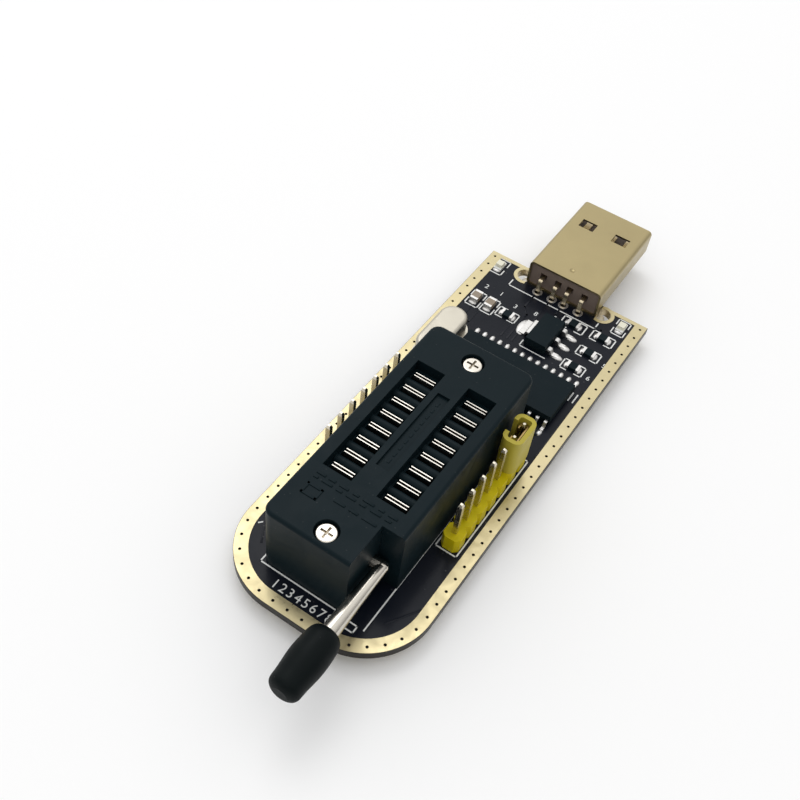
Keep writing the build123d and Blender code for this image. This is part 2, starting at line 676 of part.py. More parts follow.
with BuildPart() as crystal_leads:
    with BuildSketch():
        with Locations(*CRYSTAL_LEAD_SPOTS):
            Circle(CRYSTAL_LEAD)
    extrude(amount=TOP + CRYSTAL_LOW)
keep(crystal_leads, "crystal_leads")

# ---- regulator ----------------------------------------------------------------------------------
REGULATOR = (3.5, 6.5)
REGULATOR_AT = (1.85, along(58.4))
REGULATOR_SPLIT = 0.85
REGULATOR_HEIGHT = 1.7
REGULATOR_LEAD = 2.3
FOOT_THICK = 0.28
FOOT_KNEE = 0.55
FOOT_DROP = 0.25
FOOT_REACH = 1.65
FOOT_WIDTH = 0.72
HEEL_WIDTH = 3.0

with BuildPart() as regulator:
    with BuildSketch(level(REGULATOR_SPLIT)):
        with Locations(REGULATOR_AT):
            Rectangle(*REGULATOR)
    extrude(amount=REGULATOR_HEIGHT - REGULATOR_SPLIT, taper=8)
    extrude(regulator.faces().sort_by(Axis.Z)[0], amount=REGULATOR_SPLIT - 0.06, taper=8)
keep(regulator, "regulator")

with BuildPart() as regulator_leads:
    feet = [(1, k * REGULATOR_LEAD, FOOT_WIDTH) for k in (-1, 0, 1)] + [(-1, 0, HEEL_WIDTH)]
    for side, shift, width in feet:
        root = REGULATOR_AT[0] + side * REGULATOR[0] / 2
        with BuildSketch(Plane.XZ.offset(-(REGULATOR_AT[1] + shift))):
            with BuildLine():
                foot_line = FilletPolyline(
                    (root + side * FOOT_THICK / 2, TOP + REGULATOR_SPLIT),
                    (root + side * FOOT_KNEE, TOP + REGULATOR_SPLIT),
                    (root + side * (FOOT_KNEE + FOOT_DROP), TOP + FOOT_THICK / 2),
                    (root + side * FOOT_REACH, TOP + FOOT_THICK / 2),
                    radius=0.2,
                )
                offset(foot_line, amount=FOOT_THICK / 2, side=Side.BOTH)
            make_face()
        extrude(amount=width / 2, both=True)
keep(regulator_leads, "regulator_leads")

# ---- chip parts ---------------------------------------------------------------------------------
CHIP_PART = (2.0, 1.25)
CAPACITOR_HEIGHT = 0.9
RESISTOR_HEIGHT = 0.5
END_CAP = 0.4
ALONG_Y = 90
LED_BASE = 0.35
LED_LENS = (1.25, 0.5)     # along the lamp, and its height
CAPACITORS = [
    (-10.2, along(59.0), ALONG_Y),
    (-7.8, along(59.0), ALONG_Y),
]
RESISTORS = [
    (4.2, along(63.4), 0),
    (9.0, along(63.6), 0),
    (8.7, along(59.6), 0),
    (8.1, along(55.8), 0),
    (-4.7, along(58.9), 0),
]
LEDS = [(-10.9, along(67.4), ALONG_Y), (10.25, along(67.4), ALONG_Y)]


def chip_bodies(spots, height, name):
    """Ceramic middles of a set of chip parts."""
    with BuildPart() as bodies:
        for x, y, turn in spots:
            with BuildSketch(Plane(origin=(x, y, TOP)).rotated((0, 0, turn))):
                Rectangle(CHIP_PART[0] - 2 * END_CAP, CHIP_PART[1])
            extrude(amount=height)
    keep(bodies, name)


def chip_ends(spots, height, name):
    """Tinned end caps of a set of chip parts."""
    with BuildPart() as caps:
        for x, y, turn in spots:
            with BuildSketch(Plane(origin=(x, y, TOP)).rotated((0, 0, turn))):
                with Locations(*[(s * (CHIP_PART[0] - END_CAP) / 2, 0) for s in (-1, 1)]):
                    Rectangle(END_CAP, CHIP_PART[1])
            extrude(amount=height)
    keep(caps, name)


chip_bodies(CAPACITORS, CAPACITOR_HEIGHT, "capacitor_bodies")
chip_ends(CAPACITORS, CAPACITOR_HEIGHT, "capacitor_ends")
chip_bodies(RESISTORS, RESISTOR_HEIGHT, "resistor_bodies")
chip_ends(RESISTORS, RESISTOR_HEIGHT, "resistor_ends")

for spot, name in zip(LEDS, ("left", "right")):
    x, y, turn = spot
    with BuildPart() as led_base:
        with BuildSketch(Plane(origin=(x, y, TOP)).rotated((0, 0, turn))):
            Rectangle(*CHIP_PART)
        extrude(amount=LED_BASE)
    keep(led_base, f"led_base_{name}")
    with BuildPart() as led_lens:
        with BuildSketch(Plane(origin=(x, y, TOP + LED_BASE)).rotated((0, 0, turn))):
            Rectangle(LED_LENS[0], CHIP_PART[1] - 0.1)
        extrude(amount=LED_LENS[1], taper=8)
    keep(led_lens, f"led_lens_{name}")
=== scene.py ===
"""Looks of a USB chip programmer: finishes of every moulded, plated and drawn part, and the small
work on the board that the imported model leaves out: print, covered tracks, plated rings, solder,
the socket's moulded marks and ribs, and the studio.

Metres, +Z up, +Y towards the plug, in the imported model's frame.
"""
from math import atan2, hypot, pi, radians

import bmesh
import bpy
from bpy.props import FloatProperty, FloatVectorProperty, PointerProperty
from mathutils import Matrix, Vector


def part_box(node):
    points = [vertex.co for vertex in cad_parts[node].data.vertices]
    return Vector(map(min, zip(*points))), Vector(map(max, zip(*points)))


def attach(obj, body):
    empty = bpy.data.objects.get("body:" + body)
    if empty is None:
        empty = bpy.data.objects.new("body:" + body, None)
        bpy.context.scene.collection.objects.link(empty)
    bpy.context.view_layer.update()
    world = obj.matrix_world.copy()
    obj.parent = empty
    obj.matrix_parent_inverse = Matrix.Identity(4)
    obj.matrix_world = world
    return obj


bl_info = {
    "name": "USB Chip Programmer",
    "version": (1, 0, 0),
    "blender": (4, 5, 0),
    "location": "View3D > Sidebar > Programmer",
    "description": "Builds the finishes, board print, solder and studio of a USB chip programmer",
    "category": "Object",
}

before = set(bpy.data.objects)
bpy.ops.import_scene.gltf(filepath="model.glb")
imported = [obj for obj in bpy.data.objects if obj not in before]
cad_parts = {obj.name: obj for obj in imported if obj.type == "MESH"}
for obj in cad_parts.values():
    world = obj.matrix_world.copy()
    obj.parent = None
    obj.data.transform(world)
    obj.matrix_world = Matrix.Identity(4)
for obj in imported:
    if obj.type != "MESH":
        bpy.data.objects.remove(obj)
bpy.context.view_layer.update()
MM = 0.001

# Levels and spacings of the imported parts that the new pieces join.
BOARD_BOTTOM, BOARD_TOP = (corner.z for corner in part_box("circuit_board"))
COVER_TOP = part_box("zif_cover")[1].z
HEADER_PITCH = 2.54 * MM
HEADER_WAYS = 7
CHIP_PITCH = 1.27 * MM
CHIP_WAYS = 14
REGULATOR_PITCH = 2.3 * MM
CHANNEL_DEPTH = 1.7 * MM
CHANNEL_WIDTH = 4.04 * MM
GROOVE_DEPTH = 0.4 * MM
PLUG_LEAD_INSET = 0.125 * MM
TAB_INSET = 0.15 * MM
TAB_BACK = 1.2 * MM

# Radii of the holes in the board, and how far from the middle the two tab holes are.
LEAD_HOLE = 0.45 * MM
HEADER_HOLE = 0.5 * MM
CRYSTAL_HOLE = 0.35 * MM
TAB_HOLE = 1.29 * MM
TAB_HOLE_X = 6.7 * MM


# ---- sizes and colours --------------------------------------------------------------------------
def length(name, description, millimetres):
    """A length property, given in millimetres and kept in metres."""
    return FloatProperty(
        name=name,
        description=description,
        default=millimetres * MM,
        min=0.0,
        precision=5,
        unit="LENGTH",
    )


def colour(name, description, red, green, blue):
    """A colour property in linear light."""
    return FloatVectorProperty(
        name=name,
        description=description,
        default=(red, green, blue),
        min=0.0,
        max=1.0,
        size=3,
        subtype="COLOR",
    )


class BoardWorkSizes(bpy.types.PropertyGroup):
    """Print, tracks, rings and solder on the board."""

    ink_width: length("Ink width", "Width of a printed line", 0.19)
    ink_height: length("Ink height", "Thickness of the printed ink", 0.02)
    digit_height: length("Digit height", "Height of the printed row of digits", 1.25)
    label_height: length("Label height", "Height of the digits beside the small parts", 0.85)
    track_width: length("Track width", "Width of a copper track under the mask", 0.3)
    track_height: length("Track height", "How far a covered track stands up", 0.035)
    ring_width: length("Ring width", "Plated ring round a lead hole", 0.35)
    ring_height: length("Ring height", "How far a plated ring stands up", 0.04)
    sleeve_wall: length("Sleeve wall", "Plated wall of a tab hole", 0.05)
    joint_radius: length("Joint radius", "Foot of a solder joint under the board", 0.85)
    joint_height: length("Joint height", "Length of a solder joint down its lead", 0.95)
    toe_solder: length("Toe solder", "Half width of the solder round a chip lead's toe", 0.36)
    toe_reach: length("Toe reach", "How far the solder's middle lies beyond the toe", 0.4)


class SocketMarkSizes(bpy.types.PropertyGroup):
    """Moulded marks and ribs of the lever socket."""

    rib_radius: length("Rib radius", "Rounding of the ribs between the contact slots", 0.6)
    mark_width: length("Mark width", "Width of a moulded bar", 0.34)
    mark_height: length("Mark height", "How far a moulded bar stands up", 0.12)


class FinishColours(bpy.types.PropertyGroup):
    """Colours of the parts, in linear light."""

    mask: colour("Solder mask", "Black coating of the board", 0.0040, 0.0058, 0.0110)
    cut_edge: colour("Cut edge", "Glass epoxy at the board's sides", 0.010, 0.0075, 0.0045)
    gold: colour("Gold plating", "Bare plated border", 0.57, 0.495, 0.295)
    shell: colour("Gilt shell", "Pale gilt of the plug's shell", 0.40, 0.330, 0.175)
    contact_gold: colour("Gold contact", "Contacts inside the plug", 0.70, 0.60, 0.42)
    plug_plastic: colour("Plug insert", "Plastic inside the plug", 0.200, 0.155, 0.130)
    socket: colour("Socket plastic", "Black plastic of the lever socket", 0.0050, 0.0120, 0.0155)
    knob: colour("Knob plastic", "Lever knob", 0.0022, 0.0046, 0.0050)
    nickel: colour("Nickel", "Lever and screws", 0.66, 0.62, 0.55)
    leaf: colour("Contact leaf", "Socket contacts", 0.66, 0.63, 0.57)
    header: colour("Header plastic", "Yellow pin headers", 0.60, 0.49, 0.003)
    jumper: colour("Jumper plastic", "Paler yellow jumper", 0.46, 0.385, 0.045)
    brass: colour("Brass", "Jumper clip", 0.36, 0.25, 0.10)
    pin: colour("Header pin", "Pins of the headers", 0.66, 0.61, 0.50)
    tin: colour("Tin and solder", "Leads, end caps and solder", 0.72, 0.71, 0.69)
    chip: colour("Chip plastic", "Moulded chip packages", 0.0050, 0.0115, 0.0150)
    can: colour("Crystal can", "Crystal case", 0.50, 0.47, 0.40)
    ceramic: colour("Ceramic", "Capacitor bodies", 0.26, 0.21, 0.155)
    white: colour("White", "Ink and lamp bases", 0.74, 0.75, 0.73)
    lens: colour("Lens", "Clear resin of the lamps", 0.78, 0.76, 0.62)


class StudioSizes(bpy.types.PropertyGroup):
    """Floor and lamps."""

    floor_size: length("Floor", "Side of the pale floor", 4000)
    key_power: FloatProperty(name="Key", description="Key lamp", default=1.0, unit="POWER")
    front_power: FloatProperty(name="Front", description="Front lamp", default=0.8, unit="POWER")
    surround: FloatProperty(name="Surround", description="Light from above", default=1.05)


# ---- shared shader effects ----------------------------------------------------------------------
def effect(name, inputs, outputs):
    """A new node group with float or vector inputs and outputs, and its two end nodes."""
    group = bpy.data.node_groups.new(name, "ShaderNodeTree")
    for label, kind, value in inputs:
        socket = group.interface.new_socket(label, in_out="INPUT", socket_type=kind)
        socket.default_value = value
    for label, kind in outputs:
        group.interface.new_socket(label, in_out="OUTPUT", socket_type=kind)
    start = group.nodes.new("NodeGroupInput")
    end = group.nodes.new("NodeGroupOutput")
    start.location, end.location = (-600, 0), (600, 0)
    return group, start, end


FLOAT = "NodeSocketFloat"
VECTOR = "NodeSocketVector"


def moulding_grain():
    """Fine grain of a moulded or coated surface, and a slow drift of its shade."""
    group, start, end = effect(
        "moulding_grain",
        [("Grain per metre", FLOAT, 5000.0), ("Drift per metre", FLOAT, 120.0)],
        [("Height", FLOAT), ("Shade", FLOAT)],
    )
    nodes, links = group.nodes, group.links
    place = nodes.new("ShaderNodeTexCoord")
    for scale, target, detail in (
        ("Grain per metre", "Height", 3.0),
        ("Drift per metre", "Shade", 5.0),
    ):
        noise = nodes.new("ShaderNodeTexNoise")
        noise.inputs["Detail"].default_value = detail
        links.new(place.outputs["Object"], noise.inputs["Vector"])
        links.new(start.outputs[scale], noise.inputs["Scale"])
        links.new(noise.outputs["Fac"], end.inputs[target])
    return group


def handled_sheen():
    """Roughness that runs from polished to dull in soft patches with finer streaks in them."""
    group, start, end = effect(
        "handled_sheen",
        [("Patches per metre", FLOAT, 260.0), ("Polished", FLOAT, 0.3), ("Dull", FLOAT, 0.5)],
        [("Roughness", FLOAT)],
    )
    nodes, links = group.nodes, group.links
    place = nodes.new("ShaderNodeTexCoord")
    noise = nodes.new("ShaderNodeTexNoise")
    noise.inputs["Detail"].default_value = 6.0
    noise.inputs["Roughness"].default_value = 0.62
    noise.inputs["Distortion"].default_value = 0.6
    spread = nodes.new("ShaderNodeMapRange")
    spread.inputs["From Min"].default_value = 0.34
    spread.inputs["From Max"].default_value = 0.66
    links.new(place.outputs["Object"], noise.inputs["Vector"])
    links.new(start.outputs["Patches per metre"], noise.inputs["Scale"])
    links.new(noise.outputs["Fac"], spread.inputs["Value"])
    links.new(start.outputs["Polished"], spread.inputs["To Min"])
    links.new(start.outputs["Dull"], spread.inputs["To Max"])
    links.new(spread.outputs["Result"], end.inputs["Roughness"])
    return group


def drawn_lines():
    """Fine lines left by drawing or rolling metal, stretched by the vector."""
    group, start, end = effect(
        "drawn_lines",
        [("Stretch", VECTOR, (9000.0, 300.0, 9000.0)), ("Blotch per metre", FLOAT, 180.0)],
        [("Height", FLOAT), ("Shade", FLOAT)],
    )
    nodes, links = group.nodes, group.links
    place = nodes.new("ShaderNodeTexCoord")
    stretch = nodes.new("ShaderNodeVectorMath")
    stretch.operation = "MULTIPLY"
    lines = nodes.new("ShaderNodeTexNoise")
    lines.inputs["Scale"].default_value = 1.0
    lines.inputs["Detail"].default_value = 2.0
    blotch = nodes.new("ShaderNodeTexNoise")
    blotch.inputs["Detail"].default_value = 4.0
    links.new(place.outputs["Object"], stretch.inputs[0])
    links.new(start.outputs["Stretch"], stretch.inputs[1])
    links.new(stretch.outputs["Vector"], lines.inputs["Vector"])
    links.new(place.outputs["Object"], blotch.inputs["Vector"])
    links.new(start.outputs["Blotch per metre"], blotch.inputs["Scale"])
    links.new(lines.outputs["Fac"], end.inputs["Height"])
    links.new(blotch.outputs["Fac"], end.inputs["Shade"])
    return group


def settled_specks():
    """Sparse specks of dust or flux."""
    group, start, end = effect(
        "settled_specks",
        [("Specks per metre", FLOAT, 900.0), ("Amount", FLOAT, 0.5)],
        [("Mask", FLOAT)],
    )
    nodes, links = group.nodes, group.links
    place = nodes.new("ShaderNodeTexCoord")
    cells = nodes.new("ShaderNodeTexVoronoi")
    speck = nodes.new("ShaderNodeMapRange")
    speck.inputs["From Min"].default_value = 0.10
    speck.inputs["From Max"].default_value = 0.05
    links.new(place.outputs["Object"], cells.inputs["Vector"])
    links.new(start.outputs["Specks per metre"], cells.inputs["Scale"])
    links.new(cells.outputs["Distance"], speck.inputs["Value"])
    links.new(start.outputs["Amount"], speck.inputs["To Max"])
    links.new(speck.outputs["Result"], end.inputs["Mask"])
    return group


def board_faces():
    """1 on the coated faces of a flat board, 0 on its cut sides and hole walls."""
    group, start, end = effect(
        "board_faces",
        [("Middle", FLOAT, 0.0), ("Half thickness", FLOAT, 0.001)],
        [("Faces", FLOAT)],
    )
    nodes, links = group.nodes, group.links
    place = nodes.new("ShaderNodeTexCoord")
    split = nodes.new("ShaderNodeSeparateXYZ")
    distance = nodes.new("ShaderNodeMath")
    distance.operation = "SUBTRACT"
    size = nodes.new("ShaderNodeMath")
    size.operation = "ABSOLUTE"
    beyond = nodes.new("ShaderNodeMath")
    beyond.operation = "GREATER_THAN"
    links.new(place.outputs["Object"], split.inputs["Vector"])
    links.new(split.outputs["Z"], distance.inputs[0])
    links.new(start.outputs["Middle"], distance.inputs[1])
    links.new(distance.outputs["Value"], size.inputs[0])
    links.new(size.outputs["Value"], beyond.inputs[0])
    links.new(start.outputs["Half thickness"], beyond.inputs[1])
    links.new(beyond.outputs["Value"], end.inputs["Faces"])
    return group


EFFECTS = {}
PLASTIC_DUST = (0.32, 0.31, 0.29, 1.0)
BOARD_DUST = (0.22, 0.22, 0.22, 1.0)
COATING_SHINE = 0.12
FACE_MARGIN = 0.02 * MM


def place_effect(tree, maker, **values):
    """Put a shared effect, made once by its maker, into a material with its own values."""
    if maker not in EFFECTS:
        EFFECTS[maker] = maker()
    node = tree.nodes.new("ShaderNodeGroup")
    node.node_tree = EFFECTS[maker]
    for label, value in values.items():
        node.inputs[label.replace("_", " ")].default_value = value
    return node


def shades(colour_value, darker, lighter):
    """Darker and lighter forms of a colour, with full alpha."""
    return (
        (*[channel * darker for channel in colour_value], 1.0),
        (*[min(channel * lighter, 1.0) for channel in colour_value], 1.0),
    )


def blend_colours(tree, mask, low, high):
    """A colour that runs from low to high as the mask goes from 0 to 1."""
    mix = tree.nodes.new("ShaderNodeMix")
    mix.data_type = "RGBA"
    for value, socket in ((low, mix.inputs[6]), (high, mix.inputs[7])):
        if isinstance(value, bpy.types.NodeSocket):
            tree.links.new(value, socket)
        else:
            socket.default_value = value
    tree.links.new(mask, mix.inputs["Factor"])
    return mix.outputs[2]


def new_material(name):
    """An empty material and its Principled shader."""
    material = bpy.data.materials.new(name)
    material.use_nodes = True
    return material, material.node_tree, material.node_tree.nodes["Principled BSDF"]


def add_relief(tree, shader, height, depth):
    """Bump of this depth in metres from a height."""
    bump = tree.nodes.new("ShaderNodeBump")
    bump.inputs["Distance"].default_value = depth
    bump.inputs["Strength"].default_value = 1.0
    tree.links.new(height, bump.inputs["Height"])
    tree.links.new(bump.outputs["Normal"], shader.inputs["Normal"])


def moulded(name, base, polished, dull, grain=5200.0, depth=0.006 * MM, specks=0.0, shine=0.5):
    """Moulded plastic, resin or ceramic. Shine is the strength of its reflections."""
    material, tree, shader = new_material(name)
    surface = place_effect(tree, moulding_grain, Grain_per_metre=grain)
    sheen = place_effect(tree, handled_sheen, Polished=polished, Dull=dull)
    shader.inputs["Specular IOR Level"].default_value = shine
    dark, light = shades(base, 0.82, 1.2)
    tone = blend_colours(tree, surface.outputs["Shade"], dark, light)
    if specks:
        dust = place_effect(tree, settled_specks, Amount=specks)
        tone = blend_colours(tree, dust.outputs["Mask"], tone, PLASTIC_DUST)
    tree.links.new(tone, shader.inputs["Base Color"])
    tree.links.new(sheen.outputs["Roughness"], shader.inputs["Roughness"])
    add_relief(tree, shader, surface.outputs["Height"], depth)
    return material


def metal(name, base, polished, dull, stretch=(9000.0, 300.0, 9000.0), depth=0.0015 * MM):
    """Drawn, rolled or plated metal."""
    material, tree, shader = new_material(name)
    lines = place_effect(tree, drawn_lines, Stretch=stretch)
    sheen = place_effect(
        tree, handled_sheen, Patches_per_metre=420.0, Polished=polished, Dull=dull
    )
    dark, light = shades(base, 0.90, 1.08)
    tone = blend_colours(tree, lines.outputs["Shade"], dark, light)
    tree.links.new(tone, shader.inputs["Base Color"])
    tree.links.new(sheen.outputs["Roughness"], shader.inputs["Roughness"])
    shader.inputs["Metallic"].default_value = 1.0
    add_relief(tree, shader, lines.outputs["Height"], depth)
    return material


def coated_board(name, mask, cut_edge):
    """Black coating over glass cloth, and bare glass epoxy where the board was cut."""
    material, tree, shader = new_material(name)
    middle = (BOARD_TOP + BOARD_BOTTOM) / 2
    inside = BOARD_TOP - middle - FACE_MARGIN
    faces = place_effect(tree, board_faces, Middle=middle, Half_thickness=inside)
    surface = place_effect(tree, moulding_grain, Grain_per_metre=2600.0, Drift_per_metre=90.0)
    dust = place_effect(tree, settled_specks, Specks_per_metre=700.0, Amount=0.16)
    sheen = place_effect(tree, handled_sheen, Patches_per_metre=140.0, Polished=0.30, Dull=0.46)
    dark, light = shades(mask, 0.8, 1.3)
    coating = blend_colours(tree, surface.outputs["Shade"], dark, light)
    coating = blend_colours(tree, dust.outputs["Mask"], coating, BOARD_DUST)
    dark, light = shades(cut_edge, 0.6, 1.7)
    glass = blend_colours(tree, surface.outputs["Height"], dark, light)
    tone = blend_colours(tree, faces.outputs["Faces"], glass, coating)
    tree.links.new(tone, shader.inputs["Base Color"])
    tree.links.new(sheen.outputs["Roughness"], shader.inputs["Roughness"])
    shader.inputs["Specular IOR Level"].default_value = COATING_SHINE
    shader.inputs["Coat Weight"].default_value = COATING_SHINE
    shader.inputs["Coat Roughness"].default_value = 0.15
    add_relief(tree, shader, surface.outputs["Height"], 0.004 * MM)
    return material


FINISHES = {}


def make_finishes(tones):
    """Every finish of the object, by the name of its material slot."""
    FINISHES.update(
        solder_mask=coated_board("solder_mask", tones.mask, tones.cut_edge),
        gold_plating=metal("gold_plating", tones.gold, 0.26, 0.42, (1600.0, 1600.0, 1600.0)),
        gilt_shell=metal(
            "gilt_shell", tones.shell, 0.30, 0.38, (3200.0, 160.0, 3200.0), 0.0006 * MM
        ),
        gold_contact=metal("gold_contact", tones.contact_gold, 0.24, 0.36),
        plug_plastic=moulded("plug_plastic", tones.plug_plastic, 0.42, 0.6, shine=0.3),
        socket_plastic=moulded("socket_plastic", tones.socket, 0.32, 0.46, specks=0.05, shine=0.08),
        knob_plastic=moulded(
            "knob_plastic", tones.knob, 0.44, 0.6, 4200.0, 0.012 * MM, specks=0.05, shine=0.1
        ),
        nickel=metal("nickel", tones.nickel, 0.14, 0.28, (9000.0, 500.0, 9000.0)),
        contact_metal=metal("contact_metal", tones.leaf, 0.2, 0.34, (400.0, 8000.0, 8000.0)),
        yellow_plastic=moulded("yellow_plastic", tones.header, 0.36, 0.5, shine=0.2),
        jumper_plastic=moulded("jumper_plastic", tones.jumper, 0.34, 0.48, shine=0.25),
        clip_brass=metal("clip_brass", tones.brass, 0.3, 0.5),
        pin_metal=metal("pin_metal", tones.pin, 0.20, 0.32, (9000.0, 9000.0, 400.0)),
        tinned_lead=metal(
            "tinned_lead", tones.tin, 0.34, 0.5, (3000.0, 3000.0, 3000.0), 0.004 * MM
        ),
        chip_plastic=moulded(
            "chip_plastic", tones.chip, 0.42, 0.58, 7000.0, 0.008 * MM, specks=0.05, shine=0.08
        ),
        can_metal=metal("can_metal", tones.can, 0.28, 0.42, (2200.0, 2200.0, 2200.0)),
        seat_plastic=moulded("seat_plastic", tones.plug_plastic, 0.5, 0.65),
        ceramic_buff=moulded("ceramic_buff", tones.ceramic, 0.5, 0.66, 9000.0, 0.01 * MM),
        led_white=moulded("led_white", tones.white, 0.46, 0.6, 6000.0, 0.004 * MM),
        led_lens=moulded("led_lens", tones.lens, 0.12, 0.24, 3000.0, 0.004 * MM),
    )


FINISH_OF_NODE = (
    ("circuit_board", "solder_mask"),
    ("gold_border", "gold_plating"),
    ("usb_shell", "gilt_shell"),
    ("usb_housing", "plug_plastic"),
    ("usb_contact", "gold_contact"),
    ("zif_contact", "contact_metal"),
    ("zif_lever_knob", "knob_plastic"),
    ("zif_lever", "nickel"),
    ("zif_screws", "nickel"),
    ("zif_", "socket_plastic"),
    ("header_body", "yellow_plastic"),
    ("header_pins", "pin_metal"),
    ("jumper_cap", "jumper_plastic"),
    ("jumper_clip", "clip_brass"),
    ("bridge_chip_leads", "tinned_lead"),
    ("bridge_chip", "chip_plastic"),
    ("regulator_leads", "tinned_lead"),
    ("regulator", "chip_plastic"),
    ("crystal_can", "can_metal"),
    ("crystal_seat", "seat_plastic"),
    ("crystal_leads", "tinned_lead"),
    ("capacitor_bodies", "ceramic_buff"),
    ("capacitor_ends", "tinned_lead"),
    ("resistor_bodies", "chip_plastic"),
    ("resistor_ends", "tinned_lead"),
    ("led_base", "led_white"),
    ("led_lens", "led_lens"),
)


# ---- modelling helpers --------------------------------------------------------------------------
def clear_selection():
    """Object mode with nothing selected."""
    active = bpy.context.view_layer.objects.active
    if active and active.mode != "OBJECT":
        bpy.ops.object.mode_set(mode="OBJECT")
    bpy.ops.object.select_all(action="DESELECT")


def edit(piece):
    """Go into edit mode on this piece alone, with nothing in it selected."""
    clear_selection()
    piece.select_set(True)
    bpy.context.view_layer.objects.active = piece
    bpy.ops.object.mode_set(mode="EDIT")
    bpy.ops.mesh.select_mode(type="FACE")
    bpy.ops.mesh.select_all(action="DESELECT")


def pick_faces(piece, test):
    """In edit mode, select just the faces that pass the test."""
    bpy.ops.mesh.select_all(action="DESELECT")
    shape = bmesh.from_edit_mesh(piece.data)
    for face in shape.faces:
        face.select_set(test(face))
    bmesh.update_edit_mesh(piece.data)


def face_out(piece):
    """Turn every face of a closed shape outwards and leave edit mode."""
    bpy.ops.mesh.select_all(action="SELECT")
    bpy.ops.mesh.normals_make_consistent(inside=False)
    bpy.ops.object.mode_set(mode="OBJECT")


def copy_to(model, places):
    """Copy a model to each (place, turn about Z), each with its own mesh, and join the copies."""
    copies = []
    for place, turn in places:
        clear_selection()
        model.select_set(True)
        bpy.context.view_layer.objects.active = model
        bpy.ops.object.duplicate(linked=False)
        twin = bpy.context.view_layer.objects.active
        twin.matrix_world = Matrix.Translation(place) @ Matrix.Rotation(turn, 4, "Z")
        copies.append(twin)
    bpy.data.objects.remove(model)
    return join(copies)


def join(parts):
    """Join parts into one piece with its place in its mesh."""
    clear_selection()
    for part in parts:
        part.select_set(True)
    bpy.context.view_layer.objects.active = parts[0]
    if len(parts) > 1:
        bpy.ops.object.join()
    bpy.ops.object.transform_apply(location=True, rotation=True, scale=True)
    return bpy.context.view_layer.objects.active


def soften(piece, width, segments=2):
    """Round the sharp edges with an applied bevel."""
    clear_selection()
    piece.select_set(True)
    bpy.context.view_layer.objects.active = piece
    bevel = piece.modifiers.new("rounding", "BEVEL")
    bevel.width = width
    bevel.segments = segments
    bevel.limit_method = "ANGLE"
    bpy.ops.object.modifier_apply(modifier="rounding")


def smooth(piece, angle=40.0):
    """Smooth shading below this angle."""
    clear_selection()
    piece.select_set(True)
    bpy.context.view_layer.objects.active = piece
    bpy.ops.object.shade_smooth_by_angle(angle=radians(angle))


def finish_piece(piece, name, finish, body="root"):
    """Name a piece, give it its finish and let it ride on its body."""
    piece.name = name
    piece.data.name = name
    piece.data.materials.clear()
    piece.data.materials.append(FINISHES[finish])
    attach(piece, body)


def bar(start, end, width, low, height):
    """A flat bar from start to end, both (x, y) in metres, with half a width over at each end."""
    run = Vector(end) - Vector(start)
    middle = (Vector(end) + Vector(start)) / 2
    bpy.ops.mesh.primitive_cube_add(
        size=1,
        location=(middle.x, middle.y, low + height / 2),
        rotation=(0, 0, atan2(run.y, run.x)),
        scale=(hypot(run.x, run.y) + width, width, height),
    )
    return bpy.context.view_layer.objects.active


def bars(lines, width, low, height):
    """Bars along open lines of (x, y) places in millimetres, as one piece."""
    made = []
    for line in lines:
        places = [(x * MM, y * MM) for x, y in line]
        for start, end in zip(places, places[1:]):
            clear_selection()
            made.append(bar(start, end, width, low, height))
    return join(made)


def rectangle(x1, y1, x2, y2):
    """Closed outline of a rectangle."""
    return [(x1, y1), (x2, y1), (x2, y2), (x1, y2), (x1, y1)]


def middle_of(node):
    """Middle of a CAD node's box."""
    low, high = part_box(node)
    return (low + high) / 2


def header_places():
    """The (x, y) of every header pin."""
    places = []
    for side in ("left", "right"):
        centre = middle_of(f"header_pins_{side}")
        for way in range(HEADER_WAYS):
            places.append((centre.x, centre.y + (way - (HEADER_WAYS - 1) / 2) * HEADER_PITCH))
    return places


def socket_places():
    """The (x, y) of every socket contact."""
    return [
        (middle_of(name).x, middle_of(name).y)
        for name in sorted(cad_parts)
        if name.startswith("zif_contact")
    ]


def plug_pin_places():
    """The (x, y) where the plug's four leads go down through the board."""
    places = []
    for number in range(1, 5):
        low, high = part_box(f"usb_contact_{number}")
        places.append(((low.x + high.x) / 2, low.y + PLUG_LEAD_INSET))
    return places


def crystal_places():
    """The (x, y) of the crystal's two leads."""
    low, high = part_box("crystal_leads")
    inset = (high.x - low.x) / 2
    return [((low.x + high.x) / 2, low.y + inset), ((low.x + high.x) / 2, high.y - inset)]


def tab_places():
    """The (x, y) of the plug shell's two tabs."""
    low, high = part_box("usb_shell")
    back = low.y + TAB_BACK
    return [(low.x + TAB_INSET, back), (high.x - TAB_INSET, back)]


def tab_hole_places():
    """The (x, y) of the two round holes that the tabs go down through."""
    return [(side * TAB_HOLE_X, y) for side, (_, y) in zip((-1, 1), tab_places())]


# ---- operators ----------------------------------------------------------------------------------
class OBJECT_OT_part_finishes(bpy.types.Operator):
    """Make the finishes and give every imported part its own"""

    bl_idname = "object.programmer_finishes"
    bl_label = "Part finishes"

    def execute(self, context):
        make_finishes(context.scene.programmer_colours)
        for name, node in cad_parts.items():
            finish = next(f for start, f in FINISH_OF_NODE if name.startswith(start))
            for slot in node.material_slots:
                slot.material = FINISHES[finish]
            if not node.material_slots:
                node.data.materials.append(FINISHES[finish])
        return {"FINISHED"}


